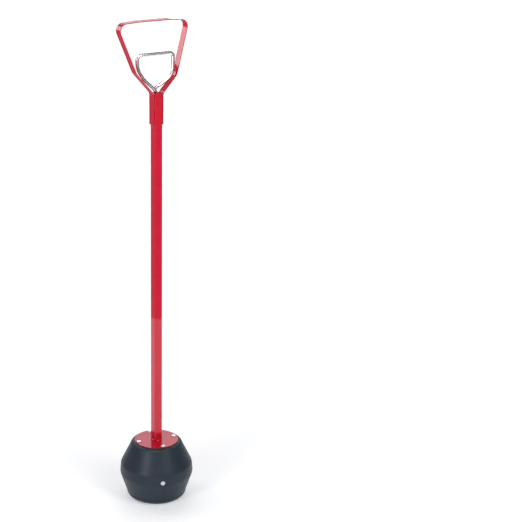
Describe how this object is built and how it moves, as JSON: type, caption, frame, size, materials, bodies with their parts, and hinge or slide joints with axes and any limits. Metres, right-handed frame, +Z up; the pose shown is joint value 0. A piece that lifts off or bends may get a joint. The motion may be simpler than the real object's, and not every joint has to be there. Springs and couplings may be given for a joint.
{
  "type": "magnetic nail sweeper",
  "caption": "Long-handled magnetic pick-up: round plastic housing with a flat working face, square steel tube, loop handle, and a pull ring that lifts the inner magnet to drop the nails.",
  "frame": {"origin": "centre of the flat working face under the housing", "axes": "+Z up the tube to the grip; X along the grip and the pull ring, Y across the flat bar"},
  "size_m": [0.1452, 0.137, 0.9082],
  "materials": {
    "slate_plastic": "dark slate moulded plastic, satin",
    "red_paint": "gloss red paint on steel",
    "zinc_steel": "bright zinc plated",
    "bright_wire": "bright plated round wire",
    "ferrite": "dull dark grey ceramic magnet",
    "nylon": "natural nylon",
    "spring_steel": "drawn spring wire"
  },
  "bodies": {
    "frame_body": {"upper_housing": "slate_plastic", "lower_housing": "slate_plastic", "side_rivet_1": "zinc_steel", "side_rivet_2": "zinc_steel", "side_rivet_3": "zinc_steel", "top_plate": "red_paint", "top_rivet_1": "zinc_steel", "top_rivet_2": "zinc_steel", "top_rivet_3": "zinc_steel", "top_rivet_4": "zinc_steel", "top_rivet_washer_1": "zinc_steel", "top_rivet_washer_2": "zinc_steel", "top_rivet_washer_3": "zinc_steel", "top_rivet_washer_4": "zinc_steel", "handle_tube": "red_paint", "tube_weld_1": "red_paint", "tube_weld_2": "red_paint", "tube_weld_3": "red_paint", "tube_weld_4": "red_paint", "carry_handle": "red_paint", "handle_foot_weld_1": "red_paint", "handle_foot_weld_2": "red_paint", "handle_rim_weld_1": "red_paint", "handle_rim_weld_2": "red_paint", "upper_guide_bush": "nylon", "lower_guide_bush": "nylon", "upper_spring_seat": "zinc_steel", "return_spring": "spring_steel"},
    "lift_rod": {"pull_wire": "bright_wire", "rod_nut_1": "zinc_steel", "rod_nut_2": "zinc_steel", "rod_washer_1": "zinc_steel", "rod_washer_2": "zinc_steel", "lower_spring_seat": "zinc_steel", "stop_collar": "zinc_steel"},
    "magnet_pack": {"magnet_pot": "zinc_steel", "ferrite_lower": "ferrite", "ferrite_upper": "ferrite", "centre_pole": "zinc_steel", "pole_screw_1": "zinc_steel", "pole_screw_2": "zinc_steel", "pole_screw_3": "zinc_steel", "pack_bush": "nylon"}
  },
  "joints": [
    {"name": "release_slide", "type": "slide", "parent": "frame_body", "child": "lift_rod", "axis": [0, 0, 1], "range_m": [0, 0.045], "stiffness_N_per_m": 515, "springref_m": -0.015, "deforming": ["return_spring"]},
    {"name": "pack_swivel", "type": "hinge", "parent": "lift_rod", "child": "magnet_pack", "pos_m": [0, 0, 0.0249], "axis": [0, 0, 1], "continuous": true}
  ]
}
